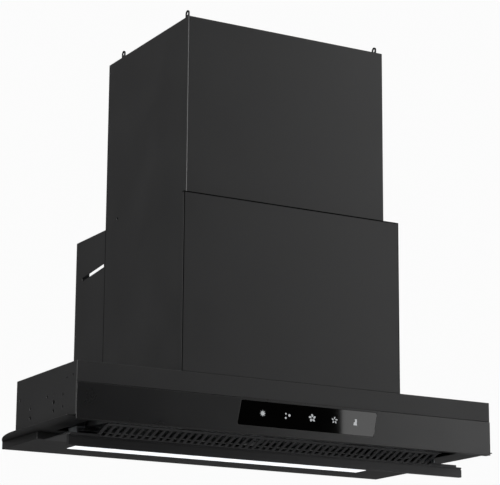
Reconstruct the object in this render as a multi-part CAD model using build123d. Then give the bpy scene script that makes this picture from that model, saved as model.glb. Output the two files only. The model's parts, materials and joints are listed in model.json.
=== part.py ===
from build123d import *
import os
from math import atan2, cos, degrees, radians, sin, sqrt

# Built-in range hood, millimetres. X runs to the hood's right, Y from its front to the wall, Z up.
# The origin is the middle of the footprint, level with the lowest edge of the intake bar.

# Driving sizes of the whole hood
hood_width = 600.0
hood_depth = 350.0
canopy_depth = 180.0
canopy_height = 70.0
band_height = 44.0
bar_drop = 24.5
sheet = 1.2
gap = 0.3
overrun = 20.0
full_turn = 360.0

front_y = -hood_depth / 2
back_y = hood_depth / 2
sill_z = bar_drop
canopy_top_z = sill_z + canopy_height
half_width = hood_width / 2
canopy_back_y = front_y + canopy_depth

# Underside frame, the plate that sticks out past both sides of the canopy
flange_overhang = 8.5
frame_setback = 8.0
frame_rise = 4.0
frame_reach = 255.0
rim_bend_start = 165.0
rim_bend_share = 0.25
mouth_half = 268.0
mouth_front = 26.0
mouth_back = 127.0
flange_half = half_width + flange_overhang
frame_z = sill_z + frame_rise
frame_top_z = frame_z + sheet
frame_front_y = front_y + frame_setback
frame_back_y = front_y + frame_reach
mouth_front_y = front_y + mouth_front
mouth_back_y = front_y + mouth_back

# Lamp tray under the rear of the frame
tray_half = 286.0
tray_front = 145.0
tray_depth = 9.5
lamp_length = 438.0
lamp_width = 26.0
lamp_setback = 31.0
lamp_lip = 3.0
lamp_proud = 0.4
lamp_clearance = 0.3
board_thickness = 1.6
chip_size = 3.5
chip_height = 1.0
chip_pitch = 18.0
tray_front_y = front_y + tray_front
tray_z = frame_z - tray_depth
lamp_y = tray_front_y + lamp_setback + lamp_width / 2

# Upper sleeve and the body behind it
sleeve_width = 296.0
sleeve_front = 19.0
sleeve_back = 252.0
sleeve_top = 536.0
sleeve_sheet = 1.0
sleeve_return = 15.0
sleeve_half = sleeve_width / 2
sleeve_front_y = front_y + sleeve_front
sleeve_back_y = front_y + sleeve_back
sleeve_top_z = sill_z + sleeve_top
body_inset = 2.0
body_top = 304.0
body_half = sleeve_half - sleeve_sheet - body_inset
body_front_y = sleeve_front_y + sleeve_sheet + body_inset
body_top_z = sill_z + body_top
body_return = 20.0

# Lower front cover
cover_width = 320.0
cover_setback = 2.0
cover_top = 298.0
cover_return = 4.5
cover_fold_r = 0.9
cover_top_z = sill_z + cover_top

# Control glass
glass_length = 205.0
glass_height = 31.0
glass_slant = 6.0
glass_offset = 20.0
glass_rise = 10.5
glass_thickness = 4.0
glass_corner = 2.5
glass_clearance = 0.3
glass_z = sill_z + glass_rise + glass_height / 2

# Outlet collar on the body's top
collar_outer_r = 75.0
collar_wall = 2.0
collar_height = 40.0
collar_place = 150.0
collar_y = front_y + collar_place

# Blower
wheel_r = 62.0
wheel_width = 104.0
axle_r = 4.0
axle_place = 108.0
axle_height = 185.0
axle_y = front_y + axle_place
axle_z = sill_z + axle_height

os.makedirs("parts", exist_ok=True)


def block(x0, x1, y0, y1, z0, z1):
    """A box given by its two corners, in any order."""
    middle = Pos((x0 + x1) / 2, (y0 + y1) / 2, (z0 + z1) / 2)
    return middle * Box(abs(x1 - x0), abs(y1 - y0), abs(z1 - z0))


def rod(x, y, z, r, length, axis="Z"):
    """A round bar centred on a point and lying along one axis."""
    turn = {"X": Rot(0, 90, 0), "Y": Rot(90, 0, 0), "Z": Rot(0, 0, 0)}[axis]
    return Pos(x, y, z) * turn * Cylinder(r, length)


def ring(x, y, z, outer, inner, length, axis="Z"):
    """A plain tube centred on a point."""
    return rod(x, y, z, outer, length, axis) - rod(x, y, z, inner, length + overrun, axis)


def mirrored(shape):
    """The same piece on the hood's other side."""
    return mirror(shape, Plane.YZ)


def save(shape, name):
    """Writes one sub-part under its node's name."""
    export_step(shape, "parts/" + name + ".step")


def group(shapes):
    """Several separate solids kept as one node."""
    solids = []
    for shape in shapes:
        solids.extend(shape.solids())
    return Compound(children=solids)


def save_pair(shape, name):
    """Writes a left piece and its mirror image."""
    save(shape, name + "_left")
    save(mirrored(shape), name + "_right")


# Canopy: shell, punched side plates and front band

shell_setback = 1.0
air_half = 130.0
air_front = 30.0
air_back = 170.0
seam = 0.5


def canopy_shell():
    """Top sheet with the upper front band and the rear wall folded down from it."""
    y0 = front_y + shell_setback
    z0 = sill_z + band_height + seam
    inner_half = half_width - sheet
    top = block(-inner_half, inner_half, y0, canopy_back_y, canopy_top_z - sheet, canopy_top_z)
    band = block(-half_width, half_width, y0, y0 + sheet, z0, canopy_top_z)
    rear = block(-inner_half, inner_half, canopy_back_y - sheet, canopy_back_y, frame_top_z, canopy_top_z)
    air = block(-air_half, air_half, front_y + air_front, front_y + air_back,
                canopy_top_z - overrun, canopy_top_z + overrun)
    return top + band + rear - air


# Punched holes of a side plate: share of the canopy's depth, share of its height, radius
punch_small_r = 1.2
punch_r = 1.6
punch_wide_r = 1.8
punch_cable_r = 2.6
punch_shares = [
    (0.067, 0.771, punch_r), (0.167, 0.757, punch_r), (0.222, 0.486, punch_wide_r),
    (0.367, 0.529, punch_small_r), (0.478, 0.529, punch_wide_r), (0.367, 0.4, punch_cable_r),
    (0.222, 0.271, punch_wide_r), (0.756, 0.514, punch_small_r), (0.756, 0.414, punch_r),
    (0.933, 0.629, punch_r),
]
fixing_hole_r = 2.2
fixing_rise = 17.5
fixing_places = [67.0, 136.0]


def side_plate():
    """Left side plate, standing on the frame between the front bands and the rear wall."""
    y0 = front_y + shell_setback + sheet
    z0 = frame_top_z
    plate = block(-half_width, -half_width + sheet, y0, canopy_back_y, z0, canopy_top_z)
    for back, up, r in punch_shares:
        plate -= rod(-half_width, front_y + back * canopy_depth, sill_z + up * canopy_height, r, overrun, "X")
    for place in fixing_places:
        plate -= rod(-half_width, front_y + place, sill_z + fixing_rise, fixing_hole_r, overrun, "X")
    return plate


def glass_outline(grow, thickness, corner):
    """A leaning four-sided plate for the control glass or its window, lying in the XZ plane."""
    half_long = glass_length / 2 - glass_slant / 2
    half_high = glass_height / 2 + grow
    lean = glass_slant / 2
    side = half_long + grow
    corners = [
        (-side - lean, -half_high), (side - lean, -half_high),
        (side + lean, half_high), (-side + lean, half_high),
    ]
    face = make_face(Polyline(*corners, close=True))
    plate = extrude(Plane.XZ * face, thickness / 2, both=True)
    uprights = plate.edges().filter_by(Axis.Y)
    return fillet(uprights, corner)


fascia_return = 14.0
fascia_lip = 8.0


def front_fascia():
    """Lower front band: a folded sheet with a lip under it, returns at its ends and the glass window."""
    z1 = sill_z + band_height
    inner = half_width - sheet
    face = block(-half_width, half_width, front_y, front_y + sheet, sill_z, z1)
    lip = block(-inner, inner, front_y, front_y + fascia_lip, sill_z, sill_z + sheet)
    top = block(-inner, inner, front_y, front_y + shell_setback, z1 - sheet, z1)
    ends = []
    for side in (-1, 1):
        x0 = side * (half_width - sheet)
        x1 = side * (half_width - 2 * sheet)
        ends.append(block(x0, x1, front_y, front_y + fascia_return, frame_top_z + gap, z1 - sheet - gap))
    window = Pos(glass_offset, front_y, glass_z) * glass_outline(glass_clearance, overrun, glass_corner)
    return face + lip + top + ends[0] + ends[1] - window


def control_glass():
    """Black touch glass, flush in its window."""
    plate = glass_outline(0, glass_thickness, glass_corner)
    return Pos(glass_offset, front_y + glass_thickness / 2, glass_z) * plate


holder_margin = 6.0
holder_depth = 9.0


def glass_holder():
    """Plastic frame behind the band that carries the glass and the touch board."""
    y0 = front_y + sheet
    half_long = glass_length / 2 + holder_margin
    half_high = glass_height / 2 + holder_margin
    z_low = max(glass_z - half_high, frame_top_z + gap)
    outer = block(glass_offset - half_long, glass_offset + half_long, y0, y0 + holder_depth,
                  z_low, glass_z + half_high - holder_margin / 2)
    seat = Pos(glass_offset, front_y, glass_z) * glass_outline(
        glass_clearance, 2 * glass_thickness, glass_corner)
    board_well = block(glass_offset - glass_length / 2 + holder_margin * 2,
                       glass_offset + glass_length / 2 - holder_margin * 2,
                       front_y, y0 + holder_depth + overrun,
                       glass_z - glass_height / 2 + holder_margin, glass_z + glass_height / 2 - holder_margin)
    return outer - seat - board_well


key_count = 5
key_pitch = 35.0
key_spring_r = 4.0


def touch_board():
    """Circuit board behind the glass, with one sensing spring for each key."""
    back = front_y + glass_thickness
    room = glass_length / 2 - holder_margin * 2 - gap
    high = glass_height / 2 - holder_margin - gap
    rear = front_y + sheet + holder_depth
    board = block(glass_offset - room, glass_offset + room, rear - board_thickness, rear,
                  glass_z - high, glass_z + high)
    for i in range(key_count):
        x = glass_offset + (i - (key_count - 1) / 2) * key_pitch
        length = rear - board_thickness - back - gap
        board += rod(x, back + gap + length / 2, glass_z, key_spring_r, length, "Y")
    return board


# Underside frame, lamp tray and lamp


def bottom_frame():
    """The underside plate with its wide mouth. Behind the canopy its sides bend in to the lamp tray."""
    bend_y = front_y + rim_bend_start
    bend_in = flange_half - tray_half
    outline = [Line((tray_half, frame_back_y), (-tray_half, frame_back_y)),
               Line((-flange_half, frame_front_y), (flange_half, frame_front_y))]
    for side in (-1, 1):
        outline.append(Line((side * flange_half, frame_front_y), (side * flange_half, bend_y)))
        outline.append(ThreePointArc((side * flange_half, bend_y),
                                     (side * (flange_half - bend_in * rim_bend_share), (bend_y + frame_back_y) / 2),
                                     (side * tray_half, frame_back_y)))
    plate = Pos(0, 0, frame_z) * extrude(make_face(outline), sheet)
    mouth = block(-mouth_half, mouth_half, mouth_front_y, mouth_back_y, frame_z - overrun, frame_top_z + overrun)
    lamp_way = block(-lamp_length / 2, lamp_length / 2, lamp_y - lamp_width / 2, lamp_y + lamp_width / 2,
                     frame_z - overrun, frame_top_z + overrun)
    return plate - mouth - lamp_way


def light_tray():
    """Shallow tray under the frame's rear, open at its top, with the slot for the lamp."""
    outer = block(-tray_half, tray_half, tray_front_y, frame_back_y, tray_z, frame_z)
    inner = block(-tray_half + sheet, tray_half - sheet, tray_front_y + sheet, frame_back_y - sheet,
                  tray_z + sheet, frame_z + overrun)
    slot = block(-lamp_length / 2, lamp_length / 2, lamp_y - lamp_width / 2, lamp_y + lamp_width / 2,
                 tray_z - overrun, tray_z + overrun / 2)
    return outer - inner - slot


diffuser_top = 3.0


def lamp_diffuser():
    """Milky strip that fills the slot, with a lip that lies on the tray inside."""
    half_long = lamp_length / 2
    half_wide = lamp_width / 2
    seat = tray_z + sheet
    window = block(-half_long + lamp_clearance, half_long - lamp_clearance,
                   lamp_y - half_wide + lamp_clearance, lamp_y + half_wide - lamp_clearance,
                   tray_z - lamp_proud, seat)
    lip = block(-half_long - lamp_lip, half_long + lamp_lip,
                lamp_y - half_wide - lamp_lip, lamp_y + half_wide + lamp_lip, seat, seat + sheet)
    return window + lip


def lamp_board():
    """Light board over the diffuser with its row of chips."""
    seat = tray_z + 2 * sheet + gap
    half_long = lamp_length / 2 - lamp_lip
    board = block(-half_long, half_long, lamp_y - lamp_width / 4, lamp_y + lamp_width / 4,
                  seat + chip_height, seat + chip_height + board_thickness)
    count = int(2 * half_long // chip_pitch)
    for i in range(count):
        x = (i - (count - 1) / 2) * chip_pitch
        board += block(x - chip_size / 2, x + chip_size / 2, lamp_y - chip_size / 2, lamp_y + chip_size / 2,
                       seat, seat + chip_height)
    return board


clip_width = 12.0
clip_sheet = 0.8
clip_shares = (-0.8, 0, 0.8)


def lamp_clips():
    """Spring clips that hold the board down in the tray."""
    seat = tray_z + 2 * sheet + gap + chip_height + board_thickness
    clips = []
    for share in clip_shares:
        x = share * lamp_length / 2
        top = block(x - clip_width / 2, x + clip_width / 2, lamp_y - lamp_width / 2 - lamp_lip - clip_sheet,
                    lamp_y + lamp_width / 2 + lamp_lip + clip_sheet, seat, seat + clip_sheet)
        for side in (-1, 1):
            y = lamp_y + side * (lamp_width / 2 + lamp_lip)
            top += block(x - clip_width / 2, x + clip_width / 2, y, y + side * clip_sheet,
                         tray_z + sheet, seat + clip_sheet)
        clips.append(top)
    return group(clips)


# Intake panel: slotted slope, plate, front bar, hinge and catches

panel_half = 243.0
wing_half = 283.0
border = 8.0
border_start = 30.0
slope_run = 28.0
slope_drop = 11.0
border_rise = 2.0
panel_plate_run = 62.0
bar_half = 287.0
bar_setback = 48.0
bar_thickness = 6.0
bar_height = 13.0
bar_groove = 1.6
bar_groove_depth = 1.2
slot_count = 49
slot_pitch = 9.8
slot_width = 5.4
slot_margin = 2.6
hinge_place = 134.0
hinge_drop = 6.5
pin_r = 2.0
knuckle_r = 3.6
knuckle_length = 40.0
knuckle_end = 238.0
ear_thickness = 2.0
ear_width = 12.0
hinge_clearance = 0.05
panel_y0 = front_y + border_start
panel_y1 = panel_y0 + border
panel_y2 = panel_y1 + slope_run
panel_y3 = panel_y2 + panel_plate_run
panel_z0 = sill_z + border_rise
panel_z1 = panel_z0 - slope_drop
hinge_y = front_y + hinge_place
hinge_z = frame_z - hinge_drop
bar_y = front_y + bar_setback


def intake_panel():
    """One folded sheet: front border, slotted slope, and a flat plate whose wings carry the bar."""
    profile = [
        (panel_y0, panel_z0 + sheet), (panel_y0, panel_z0), (panel_y1, panel_z0),
        (panel_y2, panel_z1), (panel_y3, panel_z1), (panel_y3, panel_z1 + sheet),
        (panel_y2, panel_z1 + sheet), (panel_y1, panel_z0 + sheet),
    ]
    face = make_face(Polyline(*profile, close=True))
    sheet_body = extrude(Plane.YZ * face, panel_half, both=True)
    length = sqrt(slope_run ** 2 + slope_drop ** 2)
    tilt = Rot(-slope_angle(), 0, 0)
    middle_y = (panel_y1 + panel_y2) / 2
    middle_z = (panel_z0 + panel_z1 + sheet) / 2
    cutters = []
    for i in range(slot_count):
        x = (i - (slot_count - 1) / 2) * slot_pitch
        cutters.append(Pos(x, middle_y, middle_z) * tilt * Box(slot_width, length - 2 * slot_margin, overrun / 2))
    sheet_body -= cutters
    flange_y = bar_y + bar_thickness
    straps = []
    for side in (-1, 1):
        x0 = side * (knuckle_end - knuckle_length)
        x1 = side * knuckle_end
        straps.append(block(x0, x1, panel_y3 - sheet, hinge_y, panel_z1, panel_z1 + sheet))
        straps.append(block(x0, x1, hinge_y - sheet / 2, hinge_y + sheet / 2, panel_z1, hinge_z))
        straps.append(rod((x0 + x1) / 2, hinge_y, hinge_z, knuckle_r, knuckle_length, "X"))
        x0 = side * panel_half
        x1 = side * wing_half
        straps.append(block(x0, x1, flange_y, panel_y3, panel_z1, panel_z1 + sheet))
        straps.append(block(x0, x1, flange_y, flange_y + sheet, bar_drop_z() + bar_height / 4, panel_z1))
    body = sheet_body + straps
    for side in (-1, 1):
        body -= rod(side * (knuckle_end - knuckle_length / 2), hinge_y, hinge_z, pin_r,
                    knuckle_length + overrun, "X")
    return body


def slope_angle():
    """How far the slotted slope leans down towards the rear, in degrees."""
    return degrees(atan2(slope_drop, slope_run))


def bar_drop_z():
    """The lowest level of the bar, which is the lowest level of the hood."""
    return sill_z - bar_drop


def front_bar():
    """Bar across the panel's front, with a slim lip over a groove along its face."""
    z0 = bar_drop_z()
    z1 = z0 + bar_height
    bar = block(-bar_half, bar_half, bar_y, bar_y + bar_thickness, z0, z1)
    groove = block(-bar_half - overrun, bar_half + overrun, bar_y - overrun, bar_y + bar_groove_depth,
                   z1 - 2 * bar_groove, z1 - bar_groove)
    return bar - groove


def hinge_pins():
    """Two steel pins pressed into the panel's knuckles."""
    pins = []
    for side in (-1, 1):
        length = knuckle_length + ear_thickness + 2 * sheet
        x = side * (knuckle_end + ear_thickness + sheet * 2 - length / 2)
        pins.append(rod(x, hinge_y, hinge_z, pin_r, length, "X"))
    return group(pins)


def hinge_ear():
    """Left ear that hangs from the frame and carries the panel's pin."""
    x1 = -knuckle_end - gap
    x0 = x1 - ear_thickness
    ear = block(x0, x1, hinge_y - ear_width / 2, hinge_y + ear_width / 2, hinge_z - knuckle_r, frame_z)
    foot = block(x0, x0 - ear_width, hinge_y - ear_width / 2, hinge_y + ear_width / 2, frame_z - sheet, frame_z)
    return ear + foot - rod(x0, hinge_y, hinge_z, pin_r + hinge_clearance, overrun, "X")


catch_place = 88.0
catch_width = 22.0
catch_height = 14.0
catch_thickness = 12.0
catch_end = 264.0
striker_height = 11.0
catch_y = front_y + catch_place
catch_z = panel_z1 + sheet + striker_height + gap


def striker():
    """Left steel striker that stands on the panel's wing and meets the magnet."""
    x0 = -catch_end
    x1 = x0 + catch_thickness
    y0 = catch_y - catch_width / 2
    y1 = catch_y + catch_width / 2
    z0 = panel_z1 + sheet
    foot = block(x0, x1, y0, y1, z0, z0 + sheet)
    post = block(x0, x0 + sheet, y0, y1, z0, z0 + striker_height)
    head = block(x0, x1, y0, y1, z0 + striker_height - sheet, z0 + striker_height)
    return foot + post + head


def magnet_catch():
    """Left magnet catch over the striker, with the arm that carries it from the frame."""
    x0 = -catch_end
    x1 = x0 + catch_thickness
    y0 = catch_y - catch_width / 2
    y1 = catch_y + catch_width / 2
    magnet = block(x0, x1, y0, y1, catch_z, catch_z + catch_height)
    arm = block(x0, -mouth_half - catch_width, y0, y1, catch_z + catch_height - sheet, catch_z + catch_height)
    post = block(-mouth_half - catch_width, -mouth_half - catch_width + sheet, y0, y1,
                 frame_top_z, catch_z + catch_height)
    return magnet + arm + post


# Grease filters and their latches

filter_half = 246.0
filter_height = 9.0
filter_margin = 3.0
filter_rim = 7.0
filter_lip = 1.2
tab_reach = 7.0
tab_width = 30.0
latch_width = 26.0
latch_tongue = 2.0
latch_throw = 8.0
latch_reach = 5.0
latch_knob = 8.0
latch_drop = 3.0
filter_y0 = mouth_front_y + filter_margin
filter_y1 = mouth_back_y - filter_margin
filter_z0 = frame_top_z + gap
filter_z1 = filter_z0 + filter_height
filter_mid = -filter_half / 2 - gap
latch_top_z = filter_z0 + latch_tongue


def filter_frame():
    """Left filter's folded frame with two rear tabs and the pocket for its latch."""
    outer = block(-filter_half, -gap, filter_y0, filter_y1, filter_z0, filter_z1)
    inside = block(-filter_half + filter_lip, -gap - filter_lip, filter_y0 + filter_lip, filter_y1 - filter_lip,
                   filter_z0 + filter_lip, filter_z1 - filter_lip)
    window = block(-filter_half + filter_rim, -gap - filter_rim, filter_y0 + filter_rim, filter_y1 - filter_rim,
                   filter_z0 - overrun, filter_z1 + overrun)
    frame = outer - inside - window
    for side in (-1, 1):
        x = filter_mid + side * filter_half / 4
        frame += block(x - tab_width / 2, x + tab_width / 2, filter_y1 - filter_lip, filter_y1 + tab_reach,
                       filter_z0, filter_z0 + filter_lip)
    pocket = block(filter_mid - latch_width / 2 - gap, filter_mid + latch_width / 2 + gap,
                   filter_y0 - overrun, filter_y0 + filter_rim + latch_knob + latch_throw + overrun,
                   filter_z0 - overrun, latch_top_z + gap)
    return frame - pocket


mesh_sheet = 0.8
mesh_pitch = 9.0
mesh_strand = 1.2
mesh_layers = 2


def filter_mesh():
    """Left filter's crossed expanded-metal layers, drawn as coarse strips that lock into each other."""
    x0 = -filter_half + filter_lip
    x1 = -gap - filter_lip
    y0 = filter_y0 + filter_lip
    y1 = filter_y1 - filter_lip
    clear = latch_top_z + 2 * gap + filter_lip
    bars = []
    count = int((x1 - x0) // mesh_pitch)
    for i in range(count):
        x = (x0 + x1) / 2 + (i - (count - 1) / 2) * mesh_pitch
        bars.append(block(x - mesh_strand / 2, x + mesh_strand / 2, y0, y1, clear, clear + mesh_sheet * 2))
    cross = []
    rows = int((y1 - y0) // mesh_pitch)
    for j in range(rows):
        y = (y0 + y1) / 2 + (j - (rows - 1) / 2) * mesh_pitch
        cross.append(block(x0, x1, y - mesh_strand / 2, y + mesh_strand / 2,
                           clear + mesh_sheet, clear + mesh_sheet * 3))
    mesh = bars[0].fuse(*bars[1:], *cross)
    return mesh


def filter_latch():
    """Left filter's sliding latch: a tongue over the frame's front edge and a knob under it."""
    x0 = filter_mid - latch_width / 2
    x1 = filter_mid + latch_width / 2
    back = filter_y0 + filter_rim + latch_knob
    tongue = block(x0, x1, mouth_front_y - latch_reach, back, filter_z0, latch_top_z)
    knob = block(x0 + latch_width / 4, x1 - latch_width / 4, back - latch_knob / 2, back,
                 filter_z0 - latch_drop, latch_top_z)
    return tongue + knob


# Upper sleeve, hanging rails and lower front cover

lock_hole_r = 2.0
lock_place = 216.0
lock_height = 310.0
rail_width = 16.0
rail_sheet = 1.5
rail_front = 32.0
rail_rear = 218.0
rail_foot = 250.0
tab_top = 548.0
tab_height = 16.0
tab_eye_width = 9.0
eye_r = 2.5
sleeve_bottom_z = canopy_top_z + gap
fold_r = 1.5


def chimney_sleeve():
    """Tall sleeve: front and two sides, with inward returns at the rear above the body."""
    outer = block(-sleeve_half, sleeve_half, sleeve_front_y, sleeve_back_y, sleeve_bottom_z, sleeve_top_z)
    outer = fillet(outer.edges().filter_by(Axis.Z).group_by(Axis.Y)[0], fold_r)
    inner = block(-sleeve_half + sleeve_sheet, sleeve_half - sleeve_sheet,
                  sleeve_front_y + sleeve_sheet, sleeve_back_y - sleeve_sheet,
                  sleeve_bottom_z - overrun, sleeve_top_z + overrun)
    mouth = block(-sleeve_half + sleeve_return, sleeve_half - sleeve_return, sleeve_back_y - overrun,
                  sleeve_back_y + overrun, sleeve_bottom_z - overrun, sleeve_top_z + overrun)
    low = block(-sleeve_half + sleeve_sheet, sleeve_half - sleeve_sheet, sleeve_back_y - overrun,
                sleeve_back_y + overrun, sleeve_bottom_z - overrun, body_top_z + 2 * sheet)
    sleeve = outer - inner - mouth - low
    for side in (-1, 1):
        sleeve -= rod(side * sleeve_half, front_y + lock_place, sill_z + lock_height, lock_hole_r, overrun, "X")
    return sleeve


def hanging_rail(place):
    """Left upright rail with its lip, foot lap and the eye tab that hangs the hood."""
    y = front_y + place
    x0 = -body_half + sheet
    x1 = x0 + rail_sheet
    z0 = sill_z + rail_foot
    z1 = sill_z + tab_top - tab_height
    web = block(x0, x1, y - rail_width / 2, y + rail_width / 2, z0, z1)
    lip_y = y + rail_width / 2
    lip = block(x0, x0 + rail_width / 2, lip_y - rail_sheet, lip_y, body_top_z + sheet, z1)
    tab = block(x0, x1, y - tab_eye_width / 2, y + tab_eye_width / 2, z1, sill_z + tab_top)
    tab = fillet(tab.edges().filter_by(Axis.X).group_by(Axis.Z)[-1], tab_eye_width / 2 - gap)
    eye_z = sill_z + tab_top - tab_eye_width / 2
    rail = web + lip + tab - rod(x0, y, eye_z, eye_r, overrun, "X")
    return rail - rod(x0, front_y + lock_place, sill_z + lock_height, lock_hole_r - gap, overrun, "X")


stay_height = 12.0
stay_place = 500.0


def rail_stay(place):
    """Flat stay across a pair of rails, lying against their lips."""
    y = front_y + place + rail_width / 2
    half = body_half - sheet
    z = sill_z + stay_place
    return block(-half, half, y, y + sheet, z, z + stay_height)


def lower_cover():
    """Removable front cover over the body: a flat sheet with narrow returns along its sides and top."""
    half = cover_width / 2
    y0 = front_y + cover_setback
    z0 = canopy_top_z + gap
    outer = block(-half, half, y0, y0 + cover_return, z0, cover_top_z)
    outer = fillet(outer.edges().filter_by(Axis.Z).group_by(Axis.Y)[0], cover_fold_r)
    inner = block(-half + sheet, half - sheet, y0 + sheet, y0 + cover_return + overrun,
                  z0 - overrun, cover_top_z - sheet)
    return outer - inner


hook_width = 24.0
hook_height = 30.0
hook_share = 0.6


def cover_hooks():
    """Z-shaped hooks on the canopy's top that hold the cover away from the sleeve."""
    hooks = []
    y0 = front_y + cover_setback + sheet
    y1 = sleeve_front_y - gap
    for side in (-1, 1):
        x = side * cover_width / 2 * hook_share
        foot = block(x - hook_width / 2, x + hook_width / 2, y0, y1, canopy_top_z, canopy_top_z + sheet)
        wall = block(x - hook_width / 2, x + hook_width / 2, y0, y0 + sheet, canopy_top_z,
                     canopy_top_z + hook_height)
        hooks.append(foot + wall)
    return group(hooks)


# Body behind the sleeve: wrapper, rear wall and top

slot_length = 69.0
slot_margin_back = 20.0
slot_level = 252.0
slot_slope = 6.0
slot_gap = 5.0


def body_wrapper():
    """Front wall and two long cheeks folded from one sheet, with returns at the wall and a keying slot."""
    z0 = canopy_top_z
    z1 = body_top_z
    shell = block(-body_half, body_half, body_front_y, back_y, z0, z1)
    hollow = block(-body_half + sheet, body_half - sheet, body_front_y + sheet, back_y - sheet,
                   z0 - overrun, z1 + overrun)
    open_back = block(-body_half + body_return, body_half - body_return, back_y - overrun, back_y + overrun,
                      z0 - overrun, z1 + overrun)
    shell = shell - hollow - open_back
    lean = Rot(-slot_slope, 0, 0)
    slot = Pos(0, back_y - slot_margin_back - slot_length / 2, sill_z + slot_level) * lean * Box(
        2 * body_half + overrun, slot_length, slot_gap)
    for side in (-1, 1):
        shell -= rod(side * body_half, front_y + lock_place, sill_z + lock_height, lock_hole_r, overrun, "X")
    return shell - slot


def body_rear_wall():
    """Partition that closes the blower's room and carries the electrics behind it."""
    y = sleeve_back_y
    half = body_half - sheet
    wall = block(-half, half, y - sheet, y, canopy_top_z, body_top_z)
    foot = block(-half, half, y, back_y - 2 * sheet, canopy_top_z, canopy_top_z + sheet)
    return wall + foot


def body_top_plate():
    """Top of the blower's room with the round way out."""
    half = body_half - sheet
    plate = block(-half, half, body_front_y + sheet, sleeve_back_y - sheet, body_top_z - sheet, body_top_z)
    rails_room = []
    for side in (-1, 1):
        for place in (rail_front, rail_rear):
            y = front_y + place
            rails_room.append(block(side * half, side * (half - rail_sheet - gap), y - rail_width / 2 - gap,
                                    y + rail_width / 2 + gap, body_top_z - overrun, body_top_z + overrun))
    plate -= rod(0, collar_y, body_top_z, collar_outer_r - collar_wall, overrun)
    for room in rails_room:
        plate -= room
    return plate


# Outlet collar with its two flaps

collar_foot_r = 84.0
flap_gap = 1.2
flap_sheet = 1.0
flap_pin_r = 1.5
flap_axis_half = 4.0
flap_rise = 12.0
flap_stop = 2.0
flap_z = body_top_z + flap_rise


def outlet_collar():
    """Round spigot for the duct, with its foot ring, the ledge the flaps rest on and their pin holes."""
    inner_r = collar_outer_r - collar_wall
    tube = ring(0, collar_y, body_top_z + collar_height / 2, collar_outer_r, inner_r, collar_height)
    foot = ring(0, collar_y, body_top_z + collar_wall / 2, collar_foot_r, inner_r, collar_wall)
    ledge_top = flap_z - flap_pin_r - gap
    ledge = ring(0, collar_y, ledge_top - collar_wall / 2, inner_r + collar_wall / 2,
                 inner_r - flap_stop, collar_wall)
    collar = tube + foot + ledge
    for side in (-1, 1):
        y = collar_y + side * flap_axis_half
        collar -= rod(0, y, flap_z, flap_pin_r + hinge_clearance, 2 * collar_outer_r + overrun, "X")
    return collar


def flap(side):
    """One half-round flap with its pin. Side is -1 for the front half and 1 for the rear half."""
    r = collar_outer_r - collar_wall - flap_gap
    disc = rod(0, collar_y, flap_z, r, flap_sheet)
    keep = block(-r, r, collar_y + side * flap_axis_half, collar_y + side * (r + overrun),
                 flap_z - overrun, flap_z + overrun)
    pin = rod(0, collar_y + side * flap_axis_half, flap_z, flap_pin_r,
              2 * sqrt((collar_outer_r - collar_wall / 2) ** 2 - flap_axis_half ** 2), "X")
    return (disc & keep) + pin


# Blower: scroll housing, wheel, motor and its arms

scroll_start_r = 68.0
scroll_end_r = 100.0
scroll_width = 128.0
scroll_wall = 1.2
inlet_r = 52.0
scroll_steps = 8
tongue_turn = 75.0
mouth_top = 300.0


def scroll_outline(shrink):
    """Outline of the scroll in the YZ plane: a growing spiral that runs into an upright outlet."""
    points = []
    turn = full_turn - tongue_turn
    for i in range(scroll_steps + 1):
        share = i / scroll_steps
        angle = radians(tongue_turn + turn * share)
        r = scroll_start_r + (scroll_end_r - scroll_start_r) * share - shrink
        points.append((axle_y + r * cos(angle), axle_z + r * sin(angle)))
    first = points[0]
    last = points[-1]
    top = sill_z + mouth_top
    spiral = Spline(*points)
    first_y = first[0] + shrink
    walls = Polyline(last, (last[0], top), (first_y, top), first)
    return make_face([spiral, walls])


def blower_housing():
    """Scroll of folded sheet with an inlet on both sides and its outlet under the collar."""
    half = scroll_width / 2
    outer = extrude(Plane.YZ * scroll_outline(0), half, both=True)
    inner = extrude(Plane.YZ * scroll_outline(scroll_wall), half - scroll_wall, both=True)
    top = sill_z + mouth_top
    outlet = block(-half + scroll_wall, half - scroll_wall, axle_y + scroll_start_r * cos(radians(tongue_turn))
                   + scroll_wall * 2, axle_y + scroll_end_r - scroll_wall, top - overrun, top + overrun)
    housing = outer - inner - outlet
    return housing - rod(0, axle_y, axle_z, inlet_r, scroll_width + overrun, "X")


inlet_lip = 6.0


def inlet_ring():
    """Left rounded ring that leads the air into the wheel."""
    x = -scroll_width / 2
    tube = ring(x + inlet_lip / 2, axle_y, axle_z, inlet_r - gap, inlet_r - gap - sheet, inlet_lip, "X")
    lip = ring(x - sheet / 2, axle_y, axle_z, inlet_r + inlet_lip, inlet_r - gap - sheet, sheet, "X")
    return tube + lip


blade_count = 24
blade_depth = 10.0
blade_sheet = 1.4
blade_lean = 30.0
hub_r = 14.0
hub_length = 30.0


def impeller_half():
    """Left half of the double-inlet wheel: half of the middle disc and hub, blades and an end ring."""
    x0 = -wheel_width / 2
    disc = rod(-sheet / 2, axle_y, axle_z, wheel_r - blade_depth / 2, sheet, "X")
    hub = rod(-hub_length / 4, axle_y, axle_z, hub_r, hub_length / 2, "X")
    blades = []
    for i in range(blade_count):
        turn = full_turn / blade_count * i
        blade = Rot(turn, 0, 0) * Pos(x0 / 2, wheel_r - blade_depth / 2 - sheet, 0) * Rot(blade_lean, 0, 0) * Box(
            wheel_width / 2, blade_depth, blade_sheet)
        blades.append(Pos(0, axle_y, axle_z) * blade)
    end = ring(x0 + sheet, axle_y, axle_z, wheel_r, wheel_r - blade_depth, 2 * sheet, "X")
    wheel = disc.fuse(hub, end, *blades)
    return wheel - rod(0, axle_y, axle_z, axle_r, scroll_width, "X")


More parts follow.
